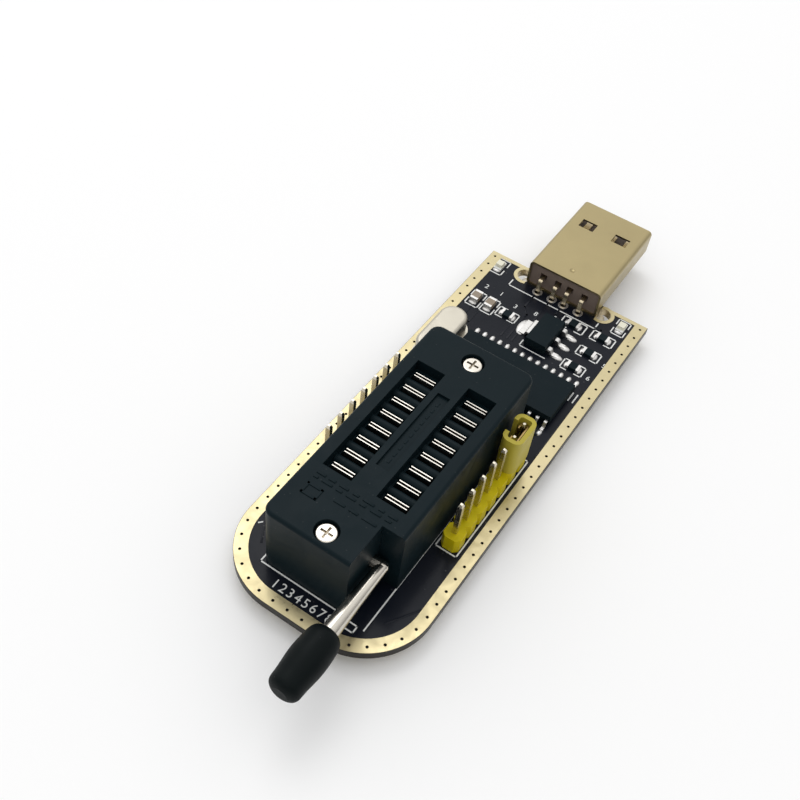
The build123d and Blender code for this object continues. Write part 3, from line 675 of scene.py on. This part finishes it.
PRINT_LINES = (
    [(5.0, -33.5), (-7.65, -33.5), (-7.65, -32.2)],
    [(7.65, -33.7), (7.65, 3.35), (5.0, 3.35)],
    rectangle(5.55, -34.75, 6.75, -33.75),
    [(-7.8, 28.4), (-7.8, 27.1), (7.05, 27.1), (7.05, 28.4)],
    [(-11.75, 30.2), (-11.75, 31.5), (-9.85, 31.5), (-9.85, 30.2)],
    [(-11.75, 29.2), (-11.75, 28.0), (-9.85, 28.0), (-9.85, 29.2)],
    [(9.25, 30.2), (9.25, 31.4), (11.2, 31.4), (11.2, 30.2)],
    [(9.25, 29.2), (9.25, 28.0), (11.2, 28.0), (11.2, 29.2)],
    [(-11.25, 20.9), (-11.25, 19.6), (-9.15, 19.6), (-9.15, 20.9)],
    [(-11.25, 21.7), (-11.25, 22.95), (-9.15, 22.95), (-9.15, 21.7)],
    [(-8.75, 20.9), (-8.75, 19.6), (-6.75, 19.6), (-6.75, 20.9)],
    [(-8.75, 21.7), (-8.75, 22.95), (-6.75, 22.95), (-6.75, 21.7)],
    [(-5.2, 20.3), (-6.4, 20.3), (-6.4, 22.3), (-5.2, 22.3)],
    [(-4.2, 20.3), (-3.1, 20.3), (-3.1, 22.3), (-4.2, 22.3)],
    [(3.5, 24.6), (2.3, 24.6), (2.3, 26.8), (3.5, 26.8)],
    [(4.9, 24.6), (6.1, 24.6), (6.1, 26.8), (4.9, 26.8)],
    [(8.3, 24.9), (7.2, 24.9), (7.2, 26.9), (8.3, 26.9)],
    [(9.7, 24.9), (10.8, 24.9), (10.8, 26.9), (9.7, 26.9)],
    [(8.0, 20.9), (6.95, 20.9), (6.95, 22.9), (8.0, 22.9)],
    [(9.4, 20.9), (10.45, 20.9), (10.45, 22.9), (9.4, 22.9)],
    [(7.4, 17.1), (6.4, 17.1), (6.4, 19.1), (7.4, 19.1)],
    [(8.8, 17.1), (9.8, 17.1), (9.8, 19.1), (8.8, 19.1)],
    [(-0.3, 18.3), (-0.3, 17.1), (3.9, 17.1)],
    [(8.1, -18.9), (8.1, -0.6), (11.1, -0.6), (11.1, -18.9), (8.1, -18.9)],
    [(-11.1, -18.9), (-11.1, -0.6), (-8.2, -0.6), (-8.2, -18.9), (-11.1, -18.9)],
    [(-7.35, 6.6), (-7.35, 13.4)],
    [(-7.9, 7.0), (-7.4, 7.7)],
    [(-7.8, 6.2), (-8.5, 6.2)],
    [(10.4, 12.2), (10.4, 13.9)],
    [(11.1, 12.2), (11.1, 13.9)],
    [(-11.2, -29.4), (-10.5, -28.6)],
)
UNDERSIDE_LINES = (
    rectangle(-7.6, -33.5, 7.6, 3.3),
    rectangle(8.2, -18.9, 11.1, -0.6),
    rectangle(-11.1, -18.9, -8.2, -0.6),
    [(-6.5, 27.0), (6.5, 27.0)],
)
PRINT_DIGITS = (
    ("1", -7.6, 24.6),
    ("2", -10.2, 24.6),
    ("3", -4.6, 23.6),
    ("4", 1.2, 25.4),
    ("5", 11.6, 21.2),
    ("6", 10.8, 17.6),
    ("7", 12.2, -18.2),
    ("1", 12.2, -3.0),
    ("1", -12.2, -18.0),
    ("7", -12.2, -3.0),
    ("8", -1.4, 24.2),
)
ROW_DIGITS = "12345678"
ROW_START = -4.3
ROW_PITCH = 1.12
ROW_Y = -34.95
DIGIT_TO_FONT_SIZE = 0.7


class OBJECT_OT_board_print(bpy.types.Operator):
    """White print: part outlines, a row of position numbers and small numbers by the parts"""

    bl_idname = "object.programmer_print"
    bl_label = "Board print"

    def digit(self, text, height, thickness, place):
        """One raised printed number with its middle at the place."""
        clear_selection()
        bpy.ops.object.text_add(location=(0, 0, 0))
        mark = bpy.context.view_layer.objects.active
        mark.data.body = text
        mark.data.size = height / DIGIT_TO_FONT_SIZE
        mark.data.align_x = "CENTER"
        mark.data.align_y = "CENTER"
        mark.data.resolution_u = 3
        mark.data.extrude = thickness / 2
        bpy.ops.object.convert(target="MESH")
        mark = bpy.context.view_layer.objects.active
        mark.location = place
        bpy.ops.object.transform_apply(location=True, rotation=True, scale=True)
        return mark

    def execute(self, context):
        sizes = context.scene.programmer_board
        width, thickness = sizes.ink_width, sizes.ink_height
        level = BOARD_TOP + thickness / 2
        parts = [bars(PRINT_LINES, width, BOARD_TOP, thickness)]
        for position, text in enumerate(ROW_DIGITS):
            place = ((ROW_START + position * ROW_PITCH) * MM, ROW_Y * MM, level)
            parts.append(self.digit(text, sizes.digit_height, thickness, place))
        for text, x, y in PRINT_DIGITS:
            place = (x * MM, y * MM, level)
            parts.append(self.digit(text, sizes.label_height, thickness, place))
        finish_piece(join(parts), "board_print", "led_white")
        under = bars(UNDERSIDE_LINES, width, BOARD_BOTTOM - thickness, thickness)
        finish_piece(under, "underside_print", "led_white")
        return {"FINISHED"}


TOP_TRACKS = (
    [(-3.5, 27.9), (-3.5, 24.5), (-2.4, 23.2), (-2.4, 17.2)],
    [(-1.0, 27.8), (-1.0, 22.3), (-1.6, 21.5), (-1.6, 17.2)],
    [(1.0, 27.8), (1.0, 26.0), (2.2, 25.4)],
    [(3.5, 27.9), (3.5, 27.4), (8.0, 27.4), (8.0, 26.7)],
    [(-7.0, 14.8), (-8.6, 16.4), (-8.6, 19.4)],
    [(-9.9, 15.9), (-9.9, 19.4)],
    [(-7.2, 5.2), (-8.4, 4.0), (-8.4, -1.2)],
    [(-5.3, 5.2), (-9.6, 0.9), (-9.6, -1.2)],
    [(-4.0, 5.2), (-4.0, 3.9), (-8.0, -0.1), (-8.0, -4.0)],
    [(7.0, 5.2), (8.6, 3.6), (8.6, -0.4)],
    [(8.3, 5.2), (9.65, 3.9), (9.65, -0.4)],
    [(10.0, 16.0), (11.6, 14.4), (11.6, 0.6), (11.4, -2.1)],
    [(11.9, -4.7), (11.9, -27.0), (9.2, -31.4)],
    [(-11.9, -4.7), (-11.9, -27.0), (-9.2, -31.4)],
    [(5.0, 20.7), (6.4, 20.7)],
    [(-3.4, 19.4), (-3.4, 17.2)],
)
BOTTOM_TRACKS = (
    [(-9.65, -17.4), (-6.9, -17.4), (-5.0, -19.3)],
    [(-9.65, -14.8), (-5.0, -14.8)],
    [(-9.65, -12.3), (-5.0, -12.3)],
    [(-9.65, -9.7), (-5.0, -9.7)],
    [(-9.65, -7.2), (-5.0, -7.2)],
    [(9.65, -17.4), (6.9, -17.4), (5.0, -19.3)],
    [(9.65, -14.8), (5.0, -14.8)],
    [(9.65, -12.3), (5.0, -12.3)],
    [(9.65, -9.7), (5.0, -9.7)],
    [(9.65, -7.2), (5.0, -7.2)],
    [(-3.8, -3.6), (-3.8, 4.0), (-6.0, 6.2), (-6.0, 18.0), (-3.5, 20.5), (-3.5, 27.4)],
    [(3.8, -3.6), (3.8, 6.0), (1.0, 8.8), (1.0, 27.4)],
    [(-9.65, -2.1), (-9.65, 6.4)],
    [(9.65, -2.1), (9.65, 12.0), (3.5, 18.2), (3.5, 27.4)],
    [(-1.0, 27.4), (-1.0, -24.0), (-2.8, -25.8)],
    [(2.2, -21.4), (2.2, -2.0), (6.4, 2.2), (6.4, 24.0)],
)
TRACK_ROUNDING = 0.014 * MM
RING_ROUNDING = 0.012 * MM
RING_SIDES = 28


class OBJECT_OT_covered_tracks(bpy.types.Operator):
    """Copper tracks that show as low ridges under the coating"""

    bl_idname = "object.programmer_tracks"
    bl_label = "Covered tracks"

    def execute(self, context):
        sizes = context.scene.programmer_board
        for lines, name, low in (
            (TOP_TRACKS, "tracks_top", BOARD_TOP),
            (BOTTOM_TRACKS, "tracks_bottom", BOARD_BOTTOM - sizes.track_height),
        ):
            piece = bars(lines, sizes.track_width, low, sizes.track_height)
            soften(piece, TRACK_ROUNDING)
            smooth(piece)
            finish_piece(piece, name, "solder_mask")
        return {"FINISHED"}


class OBJECT_OT_plated_rings(bpy.types.Operator):
    """Plated rings round the lead holes, and the plated walls of the plug's two tab holes"""

    bl_idname = "object.programmer_rings"
    bl_label = "Plated rings"

    def ring(self, hole, width, height):
        """A ring at the origin, its inner edge at the hole."""
        clear_selection()
        bpy.ops.mesh.primitive_cylinder_add(
            vertices=RING_SIDES, radius=hole + width, depth=height, location=(0, 0, 0)
        )
        ring = bpy.context.view_layer.objects.active
        edit(ring)
        pick_faces(ring, lambda face: abs(face.normal.z) > 0.9)
        bpy.ops.mesh.inset(thickness=width)
        bpy.ops.mesh.bridge_edge_loops()
        face_out(ring)
        return ring

    def rings(self, name, finish, hole, width, height, spots, level):
        """The same ring at every spot, as one piece."""
        places = [(Vector((x, y, level)), 0.0) for x, y in spots]
        piece = copy_to(self.ring(hole, width, height), places)
        soften(piece, RING_ROUNDING, 1)
        smooth(piece)
        finish_piece(piece, name, finish)

    def execute(self, context):
        sizes = context.scene.programmer_board
        width, height = sizes.ring_width, sizes.ring_height
        above, below = BOARD_TOP + height / 2, BOARD_BOTTOM - height / 2
        socket = socket_places() + plug_pin_places()
        for name, finish, hole, spots, level in (
            ("plug_pin_rings", "tinned_lead", LEAD_HOLE, plug_pin_places(), above),
            ("header_rings", "gold_plating", HEADER_HOLE, header_places(), below),
            ("socket_rings", "gold_plating", LEAD_HOLE, socket, below),
            ("crystal_rings", "gold_plating", CRYSTAL_HOLE, crystal_places(), below),
        ):
            self.rings(name, finish, hole, width, height, spots, level)
        middle = (BOARD_TOP + BOARD_BOTTOM) / 2
        thick = BOARD_TOP - BOARD_BOTTOM
        wall = sizes.sleeve_wall
        hole = TAB_HOLE - wall
        self.rings("tab_sleeves", "gold_contact", hole, wall, thick, tab_hole_places(), middle)
        return {"FINISHED"}


# Steps down a joint, each a share of its height and the share of its foot's radius reached there.
JOINT_STEPS = ((0.16, 0.74), (0.22, 0.5), (0.26, 0.34), (0.26, 0.27))
JOINT_LAST_STEP = 0.10
LEAD_JOINT_TIP = 0.12
TAB_JOINT_TIP = 0.5
TAB_JOINT_SIZE = 1.55
JOINT_TURN = 1.7


class OBJECT_OT_underside_joints(bpy.types.Operator):
    """Solder that climbs each lead under the board"""

    bl_idname = "object.programmer_joints"
    bl_label = "Underside joints"

    def joint(self, radius, height, tip):
        """A concave cone of solder that hangs from the origin."""
        clear_selection()
        bpy.ops.mesh.primitive_circle_add(
            vertices=20, radius=radius, fill_type="NGON", location=(0, 0, 0)
        )
        joint = bpy.context.view_layer.objects.active
        edit(joint)
        pick_faces(joint, lambda face: True)
        width = radius
        for share, wanted in (*JOINT_STEPS, (JOINT_LAST_STEP, tip)):
            bpy.ops.mesh.extrude_region_move(
                TRANSFORM_OT_translate={"value": (0, 0, -height * share)}
            )
            size = wanted * radius / width
            bpy.ops.transform.resize(value=(size, size, 1), center_override=(0, 0, 0))
            width = wanted * radius
        face_out(joint)
        return joint

    def execute(self, context):
        sizes = context.scene.programmer_board
        spots = socket_places() + header_places() + plug_pin_places() + crystal_places()
        joint = self.joint(sizes.joint_radius, sizes.joint_height, LEAD_JOINT_TIP)
        joints = copy_to(
            joint,
            [(Vector((x, y, BOARD_BOTTOM)), k * JOINT_TURN) for k, (x, y) in enumerate(spots)],
        )
        smooth(joints, 60)
        finish_piece(joints, "underside_joints", "tinned_lead")
        foot = TAB_JOINT_SIZE * sizes.joint_radius
        tab_joint = self.joint(foot, sizes.joint_height, TAB_JOINT_TIP)
        tabs = copy_to(tab_joint, [(Vector((x, y, BOARD_BOTTOM)), 0.0) for x, y in tab_places()])
        smooth(tabs, 60)
        finish_piece(tabs, "tab_joints", "tinned_lead")
        return {"FINISHED"}


# Middle and turn about Z of each two-ended part, and half of the distance between its ends.
SMALL_PARTS = (
    (4.2, 25.7, 0.0),
    (9.0, 25.9, 0.0),
    (-10.2, 21.3, pi / 2),
    (-7.8, 21.3, pi / 2),
    (8.7, 21.9, 0.0),
    (8.1, 18.1, 0.0),
    (-4.7, 21.2, 0.0),
    (-10.9, 29.7, pi / 2),
    (10.25, 29.7, pi / 2),
)
END_REACH = 1.0 * MM

# Solder domes: half width, half length and height.
TOE_LENGTH = 1.6
TOE_HEIGHT = 0.28 * MM
FOOT_DOME = (0.95 * MM, 0.52 * MM, 0.30 * MM)
HEEL_DOME = (0.95 * MM, 1.75 * MM, 0.27 * MM)
END_DOME = (0.42 * MM, 0.66 * MM, 0.26 * MM)
FOOT_INSET = 0.15 * MM
HEEL_INSET = 0.2 * MM


class OBJECT_OT_surface_solder(bpy.types.Operator):
    """Rounded solder at the toes of the chip, the regulator and the small parts"""

    bl_idname = "object.programmer_solder"
    bl_label = "Surface solder"

    def dome(self, half_x, half_y, height):
        """Half of a flattened ball, standing on the origin."""
        clear_selection()
        bpy.ops.mesh.primitive_uv_sphere_add(
            segments=16, ring_count=10, radius=1, location=(0, 0, 0)
        )
        dome = bpy.context.view_layer.objects.active
        edit(dome)
        bpy.ops.mesh.select_all(action="SELECT")
        bpy.ops.mesh.bisect(
            plane_co=(0, 0, 0), plane_no=(0, 0, 1), clear_inner=True, use_fill=True
        )
        bpy.ops.mesh.select_all(action="SELECT")
        bpy.ops.transform.resize(value=(half_x, half_y, height), center_override=(0, 0, 0))
        face_out(dome)
        return dome

    def execute(self, context):
        sizes = context.scene.programmer_board
        width = sizes.toe_solder
        chip_low, chip_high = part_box("bridge_chip_leads")
        centre = middle_of("bridge_chip_leads")
        toes = []
        for way in range(CHIP_WAYS):
            x = centre.x + (way - (CHIP_WAYS - 1) / 2) * CHIP_PITCH
            toes.append((Vector((x, chip_low.y - sizes.toe_reach, BOARD_TOP)), 0.0))
            toes.append((Vector((x, chip_high.y + sizes.toe_reach, BOARD_TOP)), 0.0))
        pieces = [copy_to(self.dome(width, TOE_LENGTH * width, TOE_HEIGHT), toes)]

        low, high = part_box("regulator_leads")
        middle = (low.y + high.y) / 2
        feet = [
            (Vector((high.x - FOOT_INSET, middle + k * REGULATOR_PITCH, BOARD_TOP)), 0.0)
            for k in (-1, 0, 1)
        ]
        pieces.append(copy_to(self.dome(*FOOT_DOME), feet))
        heel = [(Vector((low.x + HEEL_INSET, middle, BOARD_TOP)), 0.0)]
        pieces.append(copy_to(self.dome(*HEEL_DOME), heel))

        ends = []
        for x, y, turn in SMALL_PARTS:
            for side in (-1, 1):
                shift = Matrix.Rotation(turn, 3, "Z") @ Vector((side * END_REACH, 0, 0))
                ends.append((Vector((x * MM, y * MM, BOARD_TOP)) + shift, turn))
        pieces.append(copy_to(self.dome(*END_DOME), ends))
        solder = join(pieces)
        smooth(solder, 70)
        finish_piece(solder, "surface_solder", "tinned_lead")
        return {"FINISHED"}


class OBJECT_OT_socket_ribs(bpy.types.Operator):
    """Rounded ribs between the contact slots, in the socket's two channels"""

    bl_idname = "object.programmer_ribs"
    bl_label = "Socket ribs"

    def execute(self, context):
        sizes = context.scene.programmer_marks
        floor = COVER_TOP - CHANNEL_DEPTH
        spots = socket_places()
        columns = sorted({round(x, 6) for x, _ in spots})
        rows = sorted({round(y, 6) for _, y in spots})
        pitch = rows[1] - rows[0]
        clear_selection()
        bpy.ops.mesh.primitive_cylinder_add(
            vertices=20,
            radius=sizes.rib_radius,
            depth=CHANNEL_WIDTH,
            location=(0, 0, 0),
            rotation=(0, radians(90), 0),
        )
        rib = bpy.context.view_layer.objects.active
        bpy.ops.object.transform_apply(location=True, rotation=True, scale=True)
        edit(rib)
        bpy.ops.mesh.select_all(action="SELECT")
        bpy.ops.mesh.bisect(
            plane_co=(0, 0, 0), plane_no=(0, 0, 1), clear_inner=True, use_fill=True
        )
        face_out(rib)
        gaps = [y + pitch / 2 for y in rows[:-1]]
        places = [(Vector((x, y, floor)), 0.0) for x in columns for y in gaps]
        ribs = copy_to(rib, places)
        smooth(ribs, 50)
        finish_piece(ribs, "socket_ribs", "socket_plastic")
        return {"FINISHED"}


BLOCK_MARKS = (
    [(-5.5, -25.3), (-4.6, -25.3)],
    [(-5.5, -26.0), (-5.2, -26.0)],
    [(-3.8, -25.3), (-3.2, -25.3)],
    [(-4.3, -26.0), (-3.2, -26.0)],
    [(-2.3, -25.3), (-1.4, -25.3)],
    [(-2.3, -26.0), (-1.8, -26.0)],
    [(-0.4, -25.3), (0.1, -25.3)],
    [(-0.9, -26.0), (0.1, -26.0)],
    [(1.0, -25.3), (2.2, -25.3)],
    [(1.0, -26.0), (1.5, -26.0)],
    [(3.2, -25.3), (3.6, -25.3)],
    [(2.5, -26.0), (3.6, -26.0)],
    [(4.5, -25.3), (5.4, -25.3)],
    [(4.5, -26.0), (5.0, -26.0)],
    rectangle(-5.5, -28.6, -3.6, -27.2),
    [(-1.6, -27.4), (-0.4, -27.4)],
    [(0.5, -27.4), (1.4, -27.4)],
    [(2.3, -27.4), (3.9, -27.4)],
)
DASHES = 10
DASH_PITCH = 1.2
FIRST_DASH = (-18.9, -18.5)
MARK_SINK = 0.02 * MM
MARK_ROUNDING = 0.06 * MM


class OBJECT_OT_socket_marks(bpy.types.Operator):
    """Plain moulded bars on the socket's cover, where a maker would put its own marks"""

    bl_idname = "object.programmer_marks"
    bl_label = "Socket marks"

    def execute(self, context):
        sizes = context.scene.programmer_marks
        width, height = sizes.mark_width, sizes.mark_height
        dashes = [[(0.0, y + k * DASH_PITCH) for y in FIRST_DASH] for k in range(DASHES)]
        groove = bars(dashes, width, COVER_TOP - GROOVE_DEPTH, height / 2)
        block = bars(BLOCK_MARKS, width, COVER_TOP - MARK_SINK, height)
        piece = join([groove, block])
        soften(piece, MARK_ROUNDING)
        smooth(piece)
        finish_piece(piece, "socket_marks", "socket_plastic")
        return {"FINISHED"}


# Each lamp's side and place, in metres. Both face the middle of the floor.
KEY_LAMP = (0.42, (-0.30, 0.28, 0.68))
FRONT_LAMP = (0.6, (0.15, -0.70, 0.70))

# The surround rises from its dimmest to its full strength along this direction.
BRIGHT_DIRECTION = (-0.28, 0.40, 0.87)
DIM_BELOW = -0.1
FULL_ABOVE = 0.75
DIMMEST = 0.25
WHITE = (1.0, 1.0, 1.0, 1.0)
FLOOR_TONES = ((0.95, 0.95, 0.95, 1.0), (0.97, 0.97, 0.97, 1.0))

CAMERA_PLACE = (0.034256, -0.084105, 0.113487)
CAMERA_TURN = (39.586, -5.2065, 33.726)
CAMERA_LENS = 47.145
CAMERA_SENSOR = 36.0
CAMERA_NEAREST = 0.005


class OBJECT_OT_studio(bpy.types.Operator):
    """Pale floor, soft lamps, even surround and the camera"""

    bl_idname = "object.programmer_studio"
    bl_label = "Studio"

    def lamp(self, name, power, size, place):
        """A soft square lamp that faces the middle of the floor."""
        light = bpy.data.lights.new(name, "AREA")
        light.energy = power
        light.size = size
        lamp = bpy.data.objects.new(name, light)
        bpy.context.scene.collection.objects.link(lamp)
        lamp.location = place
        lamp.rotation_euler = (-Vector(place)).to_track_quat("-Z", "Y").to_euler()

    def surround(self, scene, strength):
        """A pale surround, brightest high up on the far left and darker towards the front."""
        world = bpy.data.worlds.new("surround")
        world.use_nodes = True
        nodes, links = world.node_tree.nodes, world.node_tree.links
        place = nodes.new("ShaderNodeTexCoord")
        bright_side = nodes.new("ShaderNodeVectorMath")
        bright_side.operation = "DOT_PRODUCT"
        bright_side.inputs[1].default_value = BRIGHT_DIRECTION
        rise = nodes.new("ShaderNodeMapRange")
        rise.inputs["From Min"].default_value = DIM_BELOW
        rise.inputs["From Max"].default_value = FULL_ABOVE
        rise.inputs["To Min"].default_value = DIMMEST * strength
        rise.inputs["To Max"].default_value = strength
        links.new(place.outputs["Generated"], bright_side.inputs[0])
        links.new(bright_side.outputs["Value"], rise.inputs["Value"])
        links.new(rise.outputs["Result"], nodes["Background"].inputs["Strength"])
        nodes["Background"].inputs["Color"].default_value = WHITE
        scene.world = world

    def execute(self, context):
        sizes = context.scene.programmer_studio
        clear_selection()
        bpy.ops.mesh.primitive_plane_add(size=sizes.floor_size, location=(0, 0, 0))
        floor = bpy.context.view_layer.objects.active
        floor.name = "studio_floor"
        material, tree, shader = new_material("studio_floor")
        surface = place_effect(tree, moulding_grain, Grain_per_metre=600.0, Drift_per_metre=3.0)
        tone = blend_colours(tree, surface.outputs["Shade"], *FLOOR_TONES)
        tree.links.new(tone, shader.inputs["Base Color"])
        shader.inputs["Roughness"].default_value = 0.8
        floor.data.materials.append(material)

        self.lamp("key", sizes.key_power, *KEY_LAMP)
        self.lamp("front", sizes.front_power, *FRONT_LAMP)
        self.surround(context.scene, sizes.surround)
        context.scene.view_settings.view_transform = "Standard"

        camera = bpy.data.cameras.new("camera")
        camera.lens = CAMERA_LENS
        camera.sensor_width = CAMERA_SENSOR
        camera.clip_start = CAMERA_NEAREST
        viewer = bpy.data.objects.new("camera", camera)
        context.scene.collection.objects.link(viewer)
        viewer.location = CAMERA_PLACE
        viewer.rotation_euler = [radians(angle) for angle in CAMERA_TURN]
        context.scene.camera = viewer
        return {"FINISHED"}


class VIEW3D_PT_programmer(bpy.types.Panel):
    """Steps of the programmer's looks, in order"""

    bl_label = "USB chip programmer"
    bl_space_type = "VIEW_3D"
    bl_region_type = "UI"
    bl_category = "Programmer"

    def draw(self, context):
        for settings in ("board", "marks", "colours", "studio"):
            group = getattr(context.scene, f"programmer_{settings}")
            box = self.layout.box()
            for name in group.bl_rna.properties.keys():
                if name not in ("rna_type", "name"):
                    box.prop(group, name)
        for operator in OPERATORS:
            self.layout.operator(operator.bl_idname)


OPERATORS = (
    OBJECT_OT_part_finishes,
    OBJECT_OT_board_print,
    OBJECT_OT_covered_tracks,
    OBJECT_OT_plated_rings,
    OBJECT_OT_underside_joints,
    OBJECT_OT_surface_solder,
    OBJECT_OT_socket_ribs,
    OBJECT_OT_socket_marks,
    OBJECT_OT_studio,
)
SETTINGS = {
    "programmer_board": BoardWorkSizes,
    "programmer_marks": SocketMarkSizes,
    "programmer_colours": FinishColours,
    "programmer_studio": StudioSizes,
}


def register():
    """Register the settings, the steps and the panel."""
    for kind in (*SETTINGS.values(), *OPERATORS, VIEW3D_PT_programmer):
        bpy.utils.register_class(kind)
    for name, kind in SETTINGS.items():
        setattr(bpy.types.Scene, name, PointerProperty(type=kind))


def unregister():
    """Take the settings, the steps and the panel away again."""
    for name in SETTINGS:
        delattr(bpy.types.Scene, name)
    for kind in reversed((*SETTINGS.values(), *OPERATORS, VIEW3D_PT_programmer)):
        bpy.utils.unregister_class(kind)


def main():
    """Build everything in order."""
    register()
    bpy.ops.object.programmer_finishes()
    bpy.ops.object.programmer_print()
    bpy.ops.object.programmer_tracks()
    bpy.ops.object.programmer_rings()
    bpy.ops.object.programmer_joints()
    bpy.ops.object.programmer_solder()
    bpy.ops.object.programmer_ribs()
    bpy.ops.object.programmer_marks()
    bpy.ops.object.programmer_studio()


if __name__ == "__main__":
    main()
